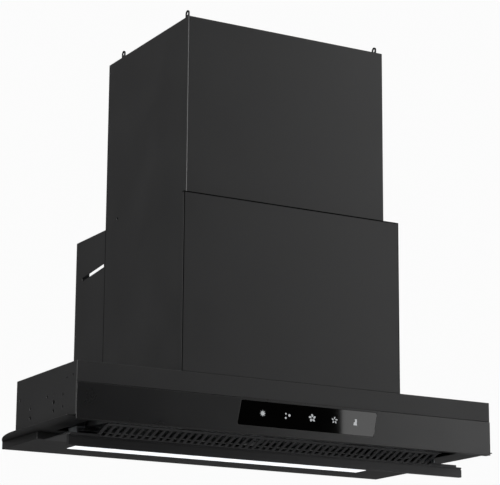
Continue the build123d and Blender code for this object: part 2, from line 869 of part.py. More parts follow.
motor_r = 40.0
motor_length = 52.0
motor_out = 12.0
bearing_r = 11.0
arm_count = 3
arm_start = 90.0
arm_width = 14.0
arm_sheet = 2.0
motor_x1 = -scroll_width / 2 + motor_out
motor_x0 = motor_x1 - motor_length


def motor():
    """Motor can with its bearing bosses and the bore for the axle."""
    x = (motor_x0 + motor_x1) / 2
    can = rod(x, axle_y, axle_z, motor_r, motor_length - bearing_r, "X")
    can = fillet(can.edges(), sheet)
    boss = rod(x, axle_y, axle_z, bearing_r, motor_length, "X")
    return can + boss - rod(x, axle_y, axle_z, axle_r + hinge_clearance, motor_length + overrun, "X")


def motor_axle():
    """Steel axle from the motor through the wheel's hub."""
    x0 = motor_x0 - sheet
    x1 = hub_length / 2 + axle_r
    return rod((x0 + x1) / 2, axle_y, axle_z, axle_r, x1 - x0, "X")


def motor_arms():
    """Three-armed bracket that carries the motor on the housing's side."""
    x1 = -scroll_width / 2 - sheet
    x0 = x1 - arm_sheet
    outer = inlet_r + inlet_lip + arm_width
    band = ring((x0 + x1) / 2 - arm_width / 2, axle_y, axle_z, motor_r + gap + arm_sheet, motor_r + gap,
                arm_width + arm_sheet, "X")
    plate = band
    for i in range(arm_count):
        turn = full_turn / arm_count * i + arm_start
        length = outer - motor_r - gap
        arm = Rot(turn, 0, 0) * Pos(0, motor_r + gap + arm_sheet / 2 + length / 2, 0) * Box(
            arm_sheet, length, arm_width)
        foot = Rot(turn, 0, 0) * Pos(sheet / 2 + arm_sheet / 2, outer - arm_width / 2 + arm_sheet / 2, 0) * Box(
            sheet, arm_width / 2, arm_width)
        plate += Pos((x0 + x1) / 2, axle_y, axle_z) * arm
        plate += Pos((x0 + x1) / 2, axle_y, axle_z) * foot
    return plate


housing_foot = 18.0


def housing_brackets():
    """Angles that hang the scroll from the top plate, one along each side."""
    pair = []
    top = body_top_z - sheet
    for side in (-1, 1):
        x = side * scroll_width / 2
        y0 = axle_y + scroll_end_r / 2
        y1 = axle_y + scroll_end_r - scroll_wall
        up = block(x, x + side * sheet, y0, y1, top - 2 * housing_foot, top)
        out = block(x, x + side * housing_foot, y0, y1, top - sheet, top)
        pair.append(up + out)
    return group(pair)


# Electrics in the open bay behind the rear wall

box_width = 120.0
box_depth = 42.0
box_height = 80.0
box_offset = 40.0
box_rise = 30.0
box_wall = 2.0
lid_thickness = 2.0
gland_r = 8.0
gland_flange_r = 11.0
gland_length = 14.0
gland_bore_r = 3.8
gland_margin = 24.0
box_y = sleeve_back_y
box_z = canopy_top_z + box_rise


def gland_x():
    """Middle of the cable gland, in the top of the electrics box near its right end."""
    return box_offset + box_width / 2 - gland_margin


def electrics_box():
    """Open plastic box on the rear wall."""
    x0 = box_offset - box_width / 2
    x1 = box_offset + box_width / 2
    outer = block(x0, x1, box_y, box_y + box_depth, box_z, box_z + box_height)
    inner = block(x0 + box_wall, x1 - box_wall, box_y + box_wall, box_y + box_depth + overrun,
                  box_z + box_wall, box_z + box_height - box_wall)
    gland_way = rod(gland_x(), box_y + box_depth / 2, box_z + box_height, gland_r, overrun)
    return outer - inner - gland_way


def electrics_lid():
    """Flat lid of the electrics box."""
    x0 = box_offset - box_width / 2
    x1 = box_offset + box_width / 2
    y = box_y + box_depth
    return block(x0, x1, y, y + lid_thickness, box_z, box_z + box_height)


board_inset = 6.0
relay_size = 16.0
relay_count = 3
relay_pitch = 20.8
transformer_length = 32.0
transformer_depth = 24.0
transformer_height = 19.2


def power_board():
    """Power board with its relays and transformer block."""
    x0 = box_offset - box_width / 2 + box_wall + board_inset
    x1 = box_offset + box_width / 2 - box_wall - board_inset
    z0 = box_z + box_wall + board_inset
    z1 = box_z + box_height - box_wall - board_inset
    y0 = box_y + box_wall
    board = block(x0, x1, y0 + board_inset / 2, y0 + board_inset / 2 + board_thickness, z0, z1)
    posts = []
    for x in (x0 + board_inset, x1 - board_inset):
        for z in (z0 + board_inset, z1 - board_inset):
            posts.append(rod(x, y0 + board_inset / 4, z, board_inset / 2, board_inset / 2, "Y"))
    face = y0 + board_inset / 2 + board_thickness
    for i in range(relay_count):
        x = x0 + board_inset + relay_size / 2 + i * relay_pitch
        posts.append(block(x - relay_size / 2, x + relay_size / 2, face, face + relay_size,
                           z1 - board_inset - relay_size, z1 - board_inset))
    posts.append(block(x0 + board_inset, x0 + board_inset + transformer_length, face, face + transformer_depth,
                       z0 + board_inset, z0 + board_inset + transformer_height))
    for post in posts:
        board += post
    return board


capacitor_r = 15.0
capacitor_length = 62.0
strap_width = 10.0


def capacitor_x():
    """Middle of the capacitor, beside the electrics box."""
    return box_offset - box_width / 2 - 2 * capacitor_r


def run_capacitor():
    """Motor capacitor with its two spade terminals."""
    y = box_y + capacitor_r + gap
    can = rod(capacitor_x(), y, box_z + capacitor_length / 2, capacitor_r, capacitor_length)
    can = fillet(can.edges(), sheet)
    for side in (-1, 1):
        x = capacitor_x() + side * capacitor_r / 3
        can += block(x - sheet, x + sheet, y - sheet / 2, y + sheet / 2, box_z + capacitor_length - sheet,
                     box_z + capacitor_length + board_inset)
    return can


def strap_core(r):
    """A round bar flattened towards the rear wall, as wide as the bar."""
    y = box_y + capacitor_r + gap
    z = box_z + capacitor_length / 2
    back = block(capacitor_x() - r, capacitor_x() + r, box_y, y, z - strap_width / 2, z + strap_width / 2)
    return rod(capacitor_x(), y, z, r, strap_width) + back


def capacitor_strap():
    """Sheet strap that holds the capacitor on the rear wall."""
    z = box_z + capacitor_length / 2
    inner_r = capacitor_r + gap
    outer_r = inner_r + sheet
    back = block(capacitor_x() - 2 * outer_r, capacitor_x() + 2 * outer_r, box_y - overrun, box_y,
                 z - strap_width, z + strap_width)
    hoop = strap_core(outer_r) - back
    for side in (-1, 1):
        x0 = capacitor_x() + side * inner_r
        x1 = x0 + side * (sheet + strap_width)
        hoop += block(x0, x1, box_y, box_y + sheet, z - strap_width / 2, z + strap_width / 2)
    inner = rod(capacitor_x(), box_y + capacitor_r + gap, z, inner_r, strap_width + overrun)
    inner += block(capacitor_x() - inner_r, capacitor_x() + inner_r, box_y - overrun,
                   box_y + capacitor_r + gap, z - strap_width, z + strap_width)
    return hoop - inner


def cable_gland():
    """Hollow gland in the box's top, where the supply lead enters."""
    y = box_y + box_depth / 2
    top = box_z + box_height
    body = rod(gland_x(), y, top - box_wall + gland_length / 2, gland_r - gap, gland_length)
    flange = rod(gland_x(), y, top + sheet, gland_flange_r, 2 * sheet)
    return body + flange - rod(gland_x(), y, top, gland_bore_r, 2 * gland_length + overrun)


# Fasteners, one node for each set

screw_head_r = 3.2
screw_head = 1.8
screw_r = 1.6
screw_recess_share = 0.7


def screw(x, y, z, direction):
    """One pan-head screw whose head stands off a face in the given direction."""
    turn = {"-Y": Rot(90, 0, 0), "+Y": Rot(-90, 0, 0), "-Z": Rot(180, 0, 0), "+Z": Rot(0, 0, 0),
            "-X": Rot(0, -90, 0), "+X": Rot(0, 90, 0)}[direction]
    head = Pos(0, 0, screw_head / 2) * Cylinder(screw_head_r, screw_head)
    head = fillet(head.edges().group_by(Axis.Z)[-1], screw_head / 2)
    recess = Pos(0, 0, screw_head) * Box(2 * screw_head_r * screw_recess_share, screw_r / 2, screw_head)
    recess += Pos(0, 0, screw_head) * Box(screw_r / 2, 2 * screw_head_r * screw_recess_share, screw_head)
    return Pos(x, y, z) * turn * (head - recess)


collar_screw_count = 6
tray_screw_shares = (-0.9, -0.3, 0.3, 0.9)


def collar_screws():
    """Screws through the collar's foot."""
    screws = []
    r = (collar_outer_r + collar_foot_r) / 2
    for i in range(collar_screw_count):
        angle = radians(full_turn / collar_screw_count * (i + 1 / 2))
        screws.append(screw(r * cos(angle), collar_y + r * sin(angle), body_top_z + collar_wall, "+Z"))
    return group(screws)


def tray_screws():
    """Screws along the rear of the lamp tray."""
    screws = []
    for share in tray_screw_shares:
        screws.append(screw(share * tray_half, frame_back_y - lamp_setback / 2, frame_top_z, "+Z"))
    return group(screws)


def lid_screws():
    """Screws at the corners of the electrics lid."""
    screws = []
    y = box_y + box_depth + lid_thickness
    for sx in (-1, 1):
        for sz in (-1, 1):
            screws.append(screw(box_offset + sx * (box_width / 2 - board_inset), y,
                                box_z + box_height / 2 + sz * (box_height / 2 - board_inset), "+Y"))
    return group(screws)


def build():
    """Writes every sub-part."""
    save(canopy_shell(), "canopy_shell")
    save_pair(side_plate(), "side_plate")
    save(front_fascia(), "front_fascia")
    save(control_glass(), "control_glass")
    save(glass_holder(), "glass_holder")
    save(touch_board(), "touch_board")
    save(bottom_frame(), "bottom_frame")
    save(light_tray(), "light_tray")
    save(lamp_diffuser(), "lamp_diffuser")
    save(lamp_board(), "lamp_board")
    save(lamp_clips(), "lamp_clips")
    save(intake_panel(), "intake_panel")
    save(front_bar(), "front_bar")
    save(hinge_pins(), "hinge_pins")
    save_pair(hinge_ear(), "hinge_ear")
    save_pair(striker(), "striker")
    save_pair(magnet_catch(), "magnet_catch")
    save_pair(filter_frame(), "filter_frame")
    save_pair(filter_mesh(), "filter_mesh")
    save_pair(filter_latch(), "filter_latch")
    save(chimney_sleeve(), "chimney_sleeve")
    save_pair(hanging_rail(rail_front), "front_rail")
    save_pair(hanging_rail(rail_rear), "rear_rail")
    save(rail_stay(rail_front), "front_stay")
    save(rail_stay(rail_rear), "rear_stay")
    save(lower_cover(), "lower_cover")
    save(cover_hooks(), "cover_hooks")
    save(body_wrapper(), "body_wrapper")
    save(body_rear_wall(), "body_rear_wall")
    save(body_top_plate(), "body_top_plate")
    save(outlet_collar(), "outlet_collar")
    save(flap(-1), "front_flap")
    save(flap(1), "rear_flap")
    save(blower_housing(), "blower_housing")
    save_pair(inlet_ring(), "inlet_ring")
    save_pair(impeller_half(), "impeller")
    save(motor(), "motor")
    save(motor_axle(), "motor_axle")
    save(motor_arms(), "motor_arms")
    save(housing_brackets(), "housing_brackets")
    save(electrics_box(), "electrics_box")
    save(electrics_lid(), "electrics_lid")
    save(power_board(), "power_board")
    save(run_capacitor(), "run_capacitor")
    save(capacitor_strap(), "capacitor_strap")
    save(cable_gland(), "cable_gland")
    save(collar_screws(), "collar_screws")
    save(tray_screws(), "tray_screws")
    save(lid_screws(), "lid_screws")


build()
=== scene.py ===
import json
from math import cos, pi, radians

import bmesh
import bpy
from mathutils import Matrix, Vector


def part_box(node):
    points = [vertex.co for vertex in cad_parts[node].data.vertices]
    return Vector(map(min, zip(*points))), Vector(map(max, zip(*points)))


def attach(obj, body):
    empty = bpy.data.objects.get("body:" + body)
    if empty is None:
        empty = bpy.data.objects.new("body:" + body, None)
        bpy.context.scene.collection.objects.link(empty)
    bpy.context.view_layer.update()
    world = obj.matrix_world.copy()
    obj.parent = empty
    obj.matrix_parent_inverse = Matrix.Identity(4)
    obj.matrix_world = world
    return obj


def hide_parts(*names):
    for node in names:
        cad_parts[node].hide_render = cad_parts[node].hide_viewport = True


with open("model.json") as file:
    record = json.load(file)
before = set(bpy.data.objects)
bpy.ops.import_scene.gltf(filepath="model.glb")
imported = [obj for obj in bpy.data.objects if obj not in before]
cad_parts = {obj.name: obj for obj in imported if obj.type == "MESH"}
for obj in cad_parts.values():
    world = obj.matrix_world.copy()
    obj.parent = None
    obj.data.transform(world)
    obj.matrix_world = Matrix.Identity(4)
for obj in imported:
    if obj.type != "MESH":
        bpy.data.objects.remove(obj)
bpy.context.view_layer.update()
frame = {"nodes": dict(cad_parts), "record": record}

mm = 0.001
cadNodes = frame["nodes"]


def linearColour(hexCode):
    # shaders work in linear light, and the colours here are written as sRGB
    shares = [int(hexCode[i:i + 2], 16) / 255 for i in (1, 3, 5)]
    return (*[s / 12.92 if s <= 0.04045 else ((s + 0.055) / 1.055) ** 2.4 for s in shares], 1)


def addNode(tree, kind, settings=None, values=None, links=None):
    node = tree.nodes.new(kind)
    for name, value in (settings or {}).items():
        setattr(node, name, value)
    for socket, value in (values or {}).items():
        node.inputs[socket].default_value = value
    for socket, source in (links or {}).items():
        tree.links.new(source, node.inputs[socket])
    return node


def startMaterial(name, look):
    # the values that hold all over the surface go on the shader itself
    material = bpy.data.materials.new(name)
    material.use_nodes = True
    tree = material.node_tree
    tree.nodes.clear()
    shader = addNode(tree, "ShaderNodeBsdfPrincipled", values={
        "Base Color": linearColour(look["colour"]),
        "Metallic": look.get("metallic", 0),
        "Roughness": look["roughness"],
    })
    addNode(tree, "ShaderNodeOutputMaterial", links={"Surface": shader.outputs["BSDF"]})
    place = addNode(tree, "ShaderNodeTexCoord").outputs["Object"]
    return material, tree, shader, place


patternDetail = 3  # octaves of noise in the lines of metal and the flow marks of plastic

# Polyester powder, baked on folded steel sheet: charcoal black and satin, with a faint orange peel.
# The peel of the real coat is about 1 mm wide, and is drawn a little wider so that it shows.
# Its edge colour is painted shade along the folds, and its joint values set the painted shade in the joints
# between sheets.
powderCoat = {"colour": "#171718", "paler": "#1c1c1d", "roughness": 0.42, "rougher": 0.48,
              "peelWidth": 2.4 * mm, "peelDepth": 0.015 * mm, "cloudWidth": 70 * mm,
              "peelDetail": 2, "cloudDetail": 4, "cloudFrom": 0.3, "cloudTo": 0.7, "samples": 6,
              "foldRadius": 1.2 * mm, "foldFrom": 0.99, "foldTo": 0.8, "edge": "#080808",
              "jointReach": 14 * mm, "jointFrom": 0.5, "jointTo": 0.95, "jointShade": 0.1}

# The intake panel's powder is drawn greyer than the body's, partly a greyer powder and partly painted light
# that brightens the dim underside. It gets no painted shade between its slots.
panelCoat = {**powderCoat, "colour": "#434345", "paler": "#4c4c4e", "jointShade": 1}

# The front band has a smoother and deeper black coat, in which lights show as soft patches.
# Its edge colour and joint values give the same painted shade along folds and in joints, over a smaller
# reach.
smoothCoat = {**powderCoat, "colour": "#151516", "paler": "#181819", "roughness": 0.27, "rougher": 0.31,
              "peelDepth": 0.006 * mm, "cloudWidth": 50 * mm, "foldRadius": 0.9 * mm, "edge": "#0a0a0a",
              "jointReach": 4 * mm, "jointShade": 0.2}


def powderEnamel(name, coat):
    material, tree, shader, place = startMaterial(name, coat)
    peel = addNode(tree, "ShaderNodeTexNoise",
                   values={"Scale": 1 / coat["peelWidth"], "Detail": coat["peelDetail"]},
                   links={"Vector": place})
    fold = addNode(tree, "ShaderNodeBevel", {"samples": coat["samples"]}, {"Radius": coat["foldRadius"]})
    bump = addNode(tree, "ShaderNodeBump", values={"Distance": coat["peelDepth"]},
                   links={"Height": peel.outputs["Fac"], "Normal": fold.outputs["Normal"]})
    cloud = addNode(tree, "ShaderNodeTexNoise",
                    values={"Scale": 1 / coat["cloudWidth"], "Detail": coat["cloudDetail"]},
                    links={"Vector": place})
    sheen = addNode(tree, "ShaderNodeMapRange",
                    values={"From Min": coat["cloudFrom"], "From Max": coat["cloudTo"],
                            "To Min": coat["roughness"], "To Max": coat["rougher"]},
                    links={"Value": cloud.outputs["Fac"]})
    tint = addNode(tree, "ShaderNodeMix", {"data_type": "RGBA"},
                   {6: linearColour(coat["colour"]), 7: linearColour(coat["paler"])},
                   {0: cloud.outputs["Fac"]})
    # the coat is painted darker where the rounded normal leaves the flat one, which is along the folds:
    # painted shade on the folds
    bend = addNode(tree, "ShaderNodeVectorMath", {"operation": "DOT_PRODUCT"},
                   links={0: fold.outputs["Normal"],
                          1: addNode(tree, "ShaderNodeNewGeometry").outputs["Normal"]})
    rim = addNode(tree, "ShaderNodeMapRange",
                  values={"From Min": coat["foldFrom"], "From Max": coat["foldTo"]},
                  links={"Value": bend.outputs["Value"]})
    foldShaded = addNode(tree, "ShaderNodeMix", {"data_type": "RGBA"}, {7: linearColour(coat["edge"])},
                    {0: rim.outputs["Result"], 6: tint.outputs[2]})
    # painted shade: ambient occlusion darkens the base colour in the joints between sheets, which read as
    # dark lines
    joint = addNode(tree, "ShaderNodeAmbientOcclusion", {"samples": coat["samples"]},
                    {"Distance": coat["jointReach"]})
    shade = addNode(tree, "ShaderNodeMapRange",
                    values={"From Min": coat["jointFrom"], "From Max": coat["jointTo"],
                            "To Min": coat["jointShade"]},
                    links={"Value": joint.outputs["AO"]})
    shaded = addNode(tree, "ShaderNodeMix", {"data_type": "RGBA", "blend_type": "MULTIPLY"}, {0: 1},
                     {6: foldShaded.outputs[2], 7: shade.outputs["Result"]})
    tree.links.new(bump.outputs["Normal"], shader.inputs["Normal"])
    tree.links.new(sheen.outputs["Result"], shader.inputs["Roughness"])
    tree.links.new(shaded.outputs[2], shader.inputs["Base Color"])
    return material


# Where one sheet laps over another, its rim and the joint beside it are painted black: painted shade for
# the shadow in the joint.
# The real joints are under 1 mm wide, and the dark matt line that stands for them is drawn wider so that it
# shows.
# The line is fully dark over its outer half. A metallic black doesn't shine, as a gap in shade doesn't.
rimShadeLine = {"width": 2 * mm, "fill": 2, "colour": "#020202", "roughness": 1, "metallic": 1,
           "acrossFrom": 0.9, "acrossTo": 0.5}

# Each rim is an axis and an end of the sheet's box: 0 for the low end and 1 for the high one.
sheetRims = {"chimney_sleeve": [(1, 1)], "lower_cover": [(0, 0), (0, 1), (2, 1)]}


def rimmedEnamel(node, rims):
    # the painted shade line runs on the faces that end at the rim, and not on a return that faces along the
    # axis
    material = powderEnamel("black_powder_enamel_" + node, powderCoat)
    tree = material.node_tree
    shader = next(part for part in tree.nodes if part.bl_idname == "ShaderNodeBsdfPrincipled")
    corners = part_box(node)
    coordinates = addNode(tree, "ShaderNodeTexCoord").outputs
    parts = addNode(tree, "ShaderNodeSeparateXYZ", links={0: coordinates["Object"]})
    facing = addNode(tree, "ShaderNodeVectorMath", {"operation": "ABSOLUTE"},
                     links={0: coordinates["Normal"]})
    turned = addNode(tree, "ShaderNodeSeparateXYZ", links={0: facing.outputs["Vector"]})
    line = addNode(tree, "ShaderNodeMath", {"operation": "MAXIMUM"}, {0: 0, 1: 0}).outputs[0]
    for axis, end in rims:
        edge = corners[end][axis]
        inner = edge - rimShadeLine["width"] if end else edge + rimShadeLine["width"]
        band = addNode(tree, "ShaderNodeMapRange",
                       values={"From Min": inner, "From Max": edge, "To Max": rimShadeLine["fill"]},
                       links={"Value": parts.outputs[axis]})
        across = addNode(tree, "ShaderNodeMapRange",
                         values={"From Min": rimShadeLine["acrossFrom"], "From Max": rimShadeLine["acrossTo"]},
                         links={"Value": turned.outputs[axis]})
        band = addNode(tree, "ShaderNodeMath", {"operation": "MULTIPLY"},
                       links={0: band.outputs["Result"], 1: across.outputs["Result"]})
        line = addNode(tree, "ShaderNodeMath", {"operation": "MAXIMUM", "use_clamp": True},
                       links={0: line, 1: band.outputs[0]}).outputs[0]
    tint = addNode(tree, "ShaderNodeMix", {"data_type": "RGBA"}, {7: linearColour(rimShadeLine["colour"])},
                   {0: line, 6: shader.inputs["Base Color"].links[0].from_socket})
    sheen = addNode(tree, "ShaderNodeMix", {"data_type": "FLOAT"}, {3: rimShadeLine["roughness"]},
                    {0: line, 2: shader.inputs["Roughness"].links[0].from_socket})
    metal = addNode(tree, "ShaderNodeMath", {"operation": "MULTIPLY"}, {1: rimShadeLine["metallic"]}, {0: line})
    tree.links.new(tint.outputs[2], shader.inputs["Base Color"])
    tree.links.new(sheen.outputs[0], shader.inputs["Roughness"])
    tree.links.new(metal.outputs[0], shader.inputs["Metallic"])
    return material


# Tempered float glass with a black print behind it: deep black under a clean mirror gloss.
# Wiping leaves faint soft streaks a few centimetres across.
glass = {"colour": "#020202", "roughness": 0.02, "rougher": 0.045, "streakWidth": 40 * mm,
         "streakDetail": 2, "index": 1.52}


def printedGlass():
    material, tree, shader, place = startMaterial("black_printed_glass", glass)
    shader.inputs["IOR"].default_value = glass["index"]
    streaks = addNode(tree, "ShaderNodeTexNoise",
                      values={"Scale": 1 / glass["streakWidth"], "Detail": glass["streakDetail"]},
                      links={"Vector": place})
    sheen = addNode(tree, "ShaderNodeMapRange",
                    values={"To Min": glass["roughness"], "To Max": glass["rougher"]},
                    links={"Value": streaks.outputs["Fac"]})
    tree.links.new(sheen.outputs["Result"], shader.inputs["Roughness"])
    return material


def grainedPlastic(name, look):
    # moulded in a spark-eroded tool, whose grain stays on the plastic as tiny pits
    material, tree, shader, place = startMaterial(name, look)
    grain = addNode(tree, "ShaderNodeTexVoronoi", values={"Scale": 1 / look["grainWidth"]},
                    links={"Vector": place})
    bump = addNode(tree, "ShaderNodeBump", values={"Distance": look["grainDepth"]},
                   links={"Height": grain.outputs["Distance"]})
    flow = addNode(tree, "ShaderNodeTexNoise",
                   values={"Scale": 1 / look["flowWidth"], "Detail": patternDetail},
                   links={"Vector": place})
    tint = addNode(tree, "ShaderNodeMix", {"data_type": "RGBA"},
                   {6: linearColour(look["colour"]), 7: linearColour(look["paler"])},
                   {0: flow.outputs["Fac"]})
    tree.links.new(bump.outputs["Normal"], shader.inputs["Normal"])
    tree.links.new(tint.outputs[2], shader.inputs["Base Color"])
    return material


# Black ABS with a fine moulded grain: matt, a touch warmer than the enamel.
blackMoulding = {"colour": "#1b1a1a", "paler": "#232222", "roughness": 0.55, "grainWidth": 0.9 * mm,
                 "grainDepth": 0.04 * mm, "flowWidth": 30 * mm}

# Grey polypropylene, moulded without a grain to speak of: waxy, soft highlights.
greyMoulding = {"colour": "#7c8083", "paler": "#8c9093", "roughness": 0.45, "grainWidth": 1.6 * mm,
                "grainDepth": 0.01 * mm, "flowWidth": 22 * mm}

# White polypropylene of a film capacitor's can: smooth, with a slight yellow cast.
capacitorCan = {"colour": "#d9d9d2", "paler": "#e6e6e0", "roughness": 0.35, "grainWidth": 1.2 * mm,
                "grainDepth": 0.01 * mm, "flowWidth": 14 * mm}


# Glass-fibre laminate under green solder lacquer: glossy, with paler lines where copper runs below.
board = {"colour": "#17492a", "paler": "#2c6d40", "roughness": 0.32, "trackPitch": 5 * mm,
         "trackWidth": 0.14, "trackRun": 18 * mm, "trackTurn": radians(35)}


def lacqueredBoard():
    material, tree, shader, place = startMaterial("green_lacquered_laminate", board)
    pitch = addNode(tree, "ShaderNodeMapping", {"vector_type": "TEXTURE"},
                    {"Rotation": (board["trackTurn"], 0, 0),
                     "Scale": (board["trackRun"], board["trackPitch"], board["trackPitch"])},
                    {"Vector": place})
    tracks = addNode(tree, "ShaderNodeTexBrick",
                     values={"Color1": linearColour(board["colour"]),
                             "Color2": linearColour(board["colour"]),
                             "Mortar": linearColour(board["paler"]), "Mortar Size": board["trackWidth"] / 2,
                             "Scale": 1, "Brick Width": 1, "Row Height": 1},
                     links={"Vector": pitch.outputs["Vector"]})
    tree.links.new(tracks.outputs["Color"], shader.inputs["Base Color"])
    return material


# Opal acrylic, extruded, with light-emitting diodes behind it: an even white glow, very slightly
# brighter over each diode.
opal = {"colour": "#f2f4f6", "roughness": 0.35, "diodePitch": 25 * mm, "dimmer": "#e6ebf2",
        "brighter": "#ffffff", "glow": 1.1}


def opalAcrylic():
    material, tree, shader, place = startMaterial("lit_opal_acrylic", opal)
    # at a scale of 1 the wave repeats every tenth of pi
    diodes = addNode(tree, "ShaderNodeTexWave", {"wave_profile": "SIN"},
                     {"Scale": pi / (10 * opal["diodePitch"])}, {"Vector": place})
    tint = addNode(tree, "ShaderNodeMix", {"data_type": "RGBA"},
                   {6: linearColour(opal["dimmer"]), 7: linearColour(opal["brighter"])},
                   {0: diodes.outputs["Fac"]})
    tree.links.new(tint.outputs[2], shader.inputs["Emission Color"])
    shader.inputs["Emission Strength"].default_value = opal["glow"]
    return material


def paleWhereRough(tree, shader, look, pattern):
    # where the pattern is high, metal is rougher and so looks paler
    tint = addNode(tree, "ShaderNodeMix", {"data_type": "RGBA"},
                   {6: linearColour(look["colour"]), 7: linearColour(look["paler"])}, {0: pattern})
    sheen = addNode(tree, "ShaderNodeMapRange",
                    values={"To Min": look["roughness"], "To Max": look["rougher"]},
                    links={"Value": pattern})
    tree.links.new(tint.outputs[2], shader.inputs["Base Color"])
    tree.links.new(sheen.outputs["Result"], shader.inputs["Roughness"])


def brushedMetal(name, look):
    # brushed, drawn or rolled metal shows lines in the direction it was worked in
    material, tree, shader, place = startMaterial(name, look)
    along = addNode(tree, "ShaderNodeMapping", {"vector_type": "TEXTURE"}, {"Scale": look["lineSize"]},
                    {"Vector": place})
    lines = addNode(tree, "ShaderNodeTexNoise", values={"Scale": 1, "Detail": patternDetail},
                    links={"Vector": along.outputs["Vector"]})
    paleWhereRough(tree, shader, look, lines.outputs["Fac"])
    return material


# Extruded aluminium, brushed along its length and anodised black: a darker, sleeker strip with
# fine lines. Its lines are 0.1 mm apart on the real bar, and drawn wider so that they show.
anodised = {"colour": "#252526", "paler": "#333335", "metallic": 0.3, "roughness": 0.3, "rougher": 0.42,
            "lineSize": (120 * mm, 0.9 * mm, 0.9 * mm)}

# Hardened spring steel, blued a little by its heat treatment.
spring = {"colour": "#7d8187", "paler": "#989ca1", "metallic": 1, "roughness": 0.28, "rougher": 0.4,
          "lineSize": (6 * mm, 1 * mm, 1 * mm)}

# Steel of the hanging rails, blackened in hot salts: dark, dry and slightly blue.
blackened = {"colour": "#1a1b1d", "paler": "#26272a", "metallic": 0.6, "roughness": 0.5, "rougher": 0.62,
             "lineSize": (6 * mm, 6 * mm, 40 * mm)}

# Steel electroplated with zinc and passivated clear: cool grey, lightly clouded along the rolling.
zinc = {"colour": "#a3a8ad", "paler": "#c6cacd", "metallic": 1, "roughness": 0.3, "rougher": 0.46,
        "lineSize": (9 * mm, 9 * mm, 30 * mm)}

# Turned and polished steel of the screws and the axle: bright, with fine rings.
turned = {"colour": "#b9babc", "paler": "#d6d7d8", "metallic": 1, "roughness": 0.14, "rougher": 0.24,
          "lineSize": (1 * mm, 12 * mm, 12 * mm)}

# Mill-finish aluminium of the grease filters: soft white metal with rolling lines.
millAluminium = {"colour": "#b9bcbe", "paler": "#d2d4d5", "metallic": 1, "roughness": 0.34, "rougher": 0.48,
                 "lineSize": (40 * mm, 1.5 * mm, 1.5 * mm)}


# Hot-dipped zinc on steel sheet: its crystals show as spangles 8 to 15 mm across in two greys.
galvanised = {"colour": "#8f969b", "paler": "#b4babe", "metallic": 1, "roughness": 0.36, "rougher": 0.52,
              "spangleWidth": 11 * mm}


def spangledZinc():
    material, tree, shader, place = startMaterial("hot_dipped_zinc", galvanised)
    spangles = addNode(tree, "ShaderNodeTexVoronoi", values={"Scale": 1 / galvanised["spangleWidth"]},
                       links={"Vector": place})
    grey = addNode(tree, "ShaderNodeRGBToBW", links={"Color": spangles.outputs["Color"]})
    paleWhereRough(tree, shader, galvanised, grey.outputs["Val"])
    return material


# Grey alkyd paint sprayed on the motor's drawn steel can: semi-gloss with a slight grain.
motorPaint = {"colour": "#5b5d60", "paler": "#66686b", "roughness": 0.4, "grainWidth": 1.5 * mm,
              "grainDepth": 0.015 * mm, "flowWidth": 18 * mm}

# White light through a clear gap in the glass's black print.
litMark = {"colour": "#8e9092", "roughness": 0.3, "dimmer": "#cfd4d8", "brighter": "#f4f6f8",
           "glow": 0.32, "cellWidth": 3 * mm}


def litPrint():
    material, tree, shader, place = startMaterial("lit_clear_print", litMark)
    cells = addNode(tree, "ShaderNodeTexNoise", values={"Scale": 1 / litMark["cellWidth"]},
                    links={"Vector": place})
    tint = addNode(tree, "ShaderNodeMix", {"data_type": "RGBA"},
                   {6: linearColour(litMark["dimmer"]), 7: linearColour(litMark["brighter"])},
                   {0: cells.outputs["Fac"]})
    tree.links.new(tint.outputs[2], shader.inputs["Emission Color"])
    shader.inputs["Emission Strength"].default_value = litMark["glow"]
    return material


finishes = {
    "black_enamel": powderEnamel("black_powder_enamel", powderCoat),
    "satin_black_trim": brushedMetal("black_anodised_aluminium", anodised),
    "black_glass": printedGlass(),
    "black_plastic": grainedPlastic("black_grained_abs", blackMoulding),
    "grey_plastic": grainedPlastic("grey_moulded_polypropylene", greyMoulding),
    "circuit_board": lacqueredBoard(),
    "milk_diffuser": opalAcrylic(),
    "spring_steel": brushedMetal("blued_spring_steel", spring),
    "zinc_steel": brushedMetal("zinc_plated_steel", zinc),
    "galvanised_sheet": spangledZinc(),
    "bright_steel": brushedMetal("turned_polished_steel", turned),
    "motor_steel": grainedPlastic("grey_sprayed_motor_paint", motorPaint),
    "filter_aluminium": brushedMetal("mill_finish_aluminium", millAluminium),
    "capacitor_plastic": grainedPlastic("white_moulded_polypropylene", capacitorCan),
}

for subpart in frame["record"]["subparts"]:
    mesh = cadNodes[subpart["node"]].data
    mesh.materials.clear()
    mesh.materials.append(finishes[subpart["material_slot"]])
cadNodes["front_fascia"].data.materials[0] = powderEnamel("black_smooth_enamel", smoothCoat)
for name, rims in sheetRims.items():
    cadNodes[name].data.materials[0] = rimmedEnamel(name, rims)
cadNodes["intake_panel"].data.materials[0] = powderEnamel("grey_black_powder_enamel_and_painted_light", panelCoat)
# The rails are blackened steel. The magnet catches get the same dark finish as painted shade, for the dark
# recess they sit in.
blackenedSteelAndShade = brushedMetal("blackened_steel_and_painted_shade", blackened)
for name in ("front_rail_left", "front_rail_right", "rear_rail_left", "rear_rail_right",
             "magnet_catch_left", "magnet_catch_right"):
    cadNodes[name].data.materials[0] = blackenedSteelAndShade
print("finishes:", len(finishes), "on", len(cadNodes), "nodes")


def makePiece(name, shape, finish, body):
    mesh = bpy.data.meshes.new(name)
    shape.to_mesh(mesh)
    shape.free()
    mesh.materials.append(finish)
    piece = bpy.data.objects.new(name, mesh)
    bpy.context.scene.collection.objects.link(piece)
    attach(piece, body)
    return piece


# Grease filter: layers of expanded aluminium. The real diamonds are about 4 by 3 mm and are drawn
# a little larger, so that they show between the slots.
filterNet = {"diamondLong": 9 * mm, "diamondShort": 6 * mm, "strand": 0.55 * mm, "layers": 2,
             "layerStep": 1.2 * mm, "layerShift": 2.6 * mm}


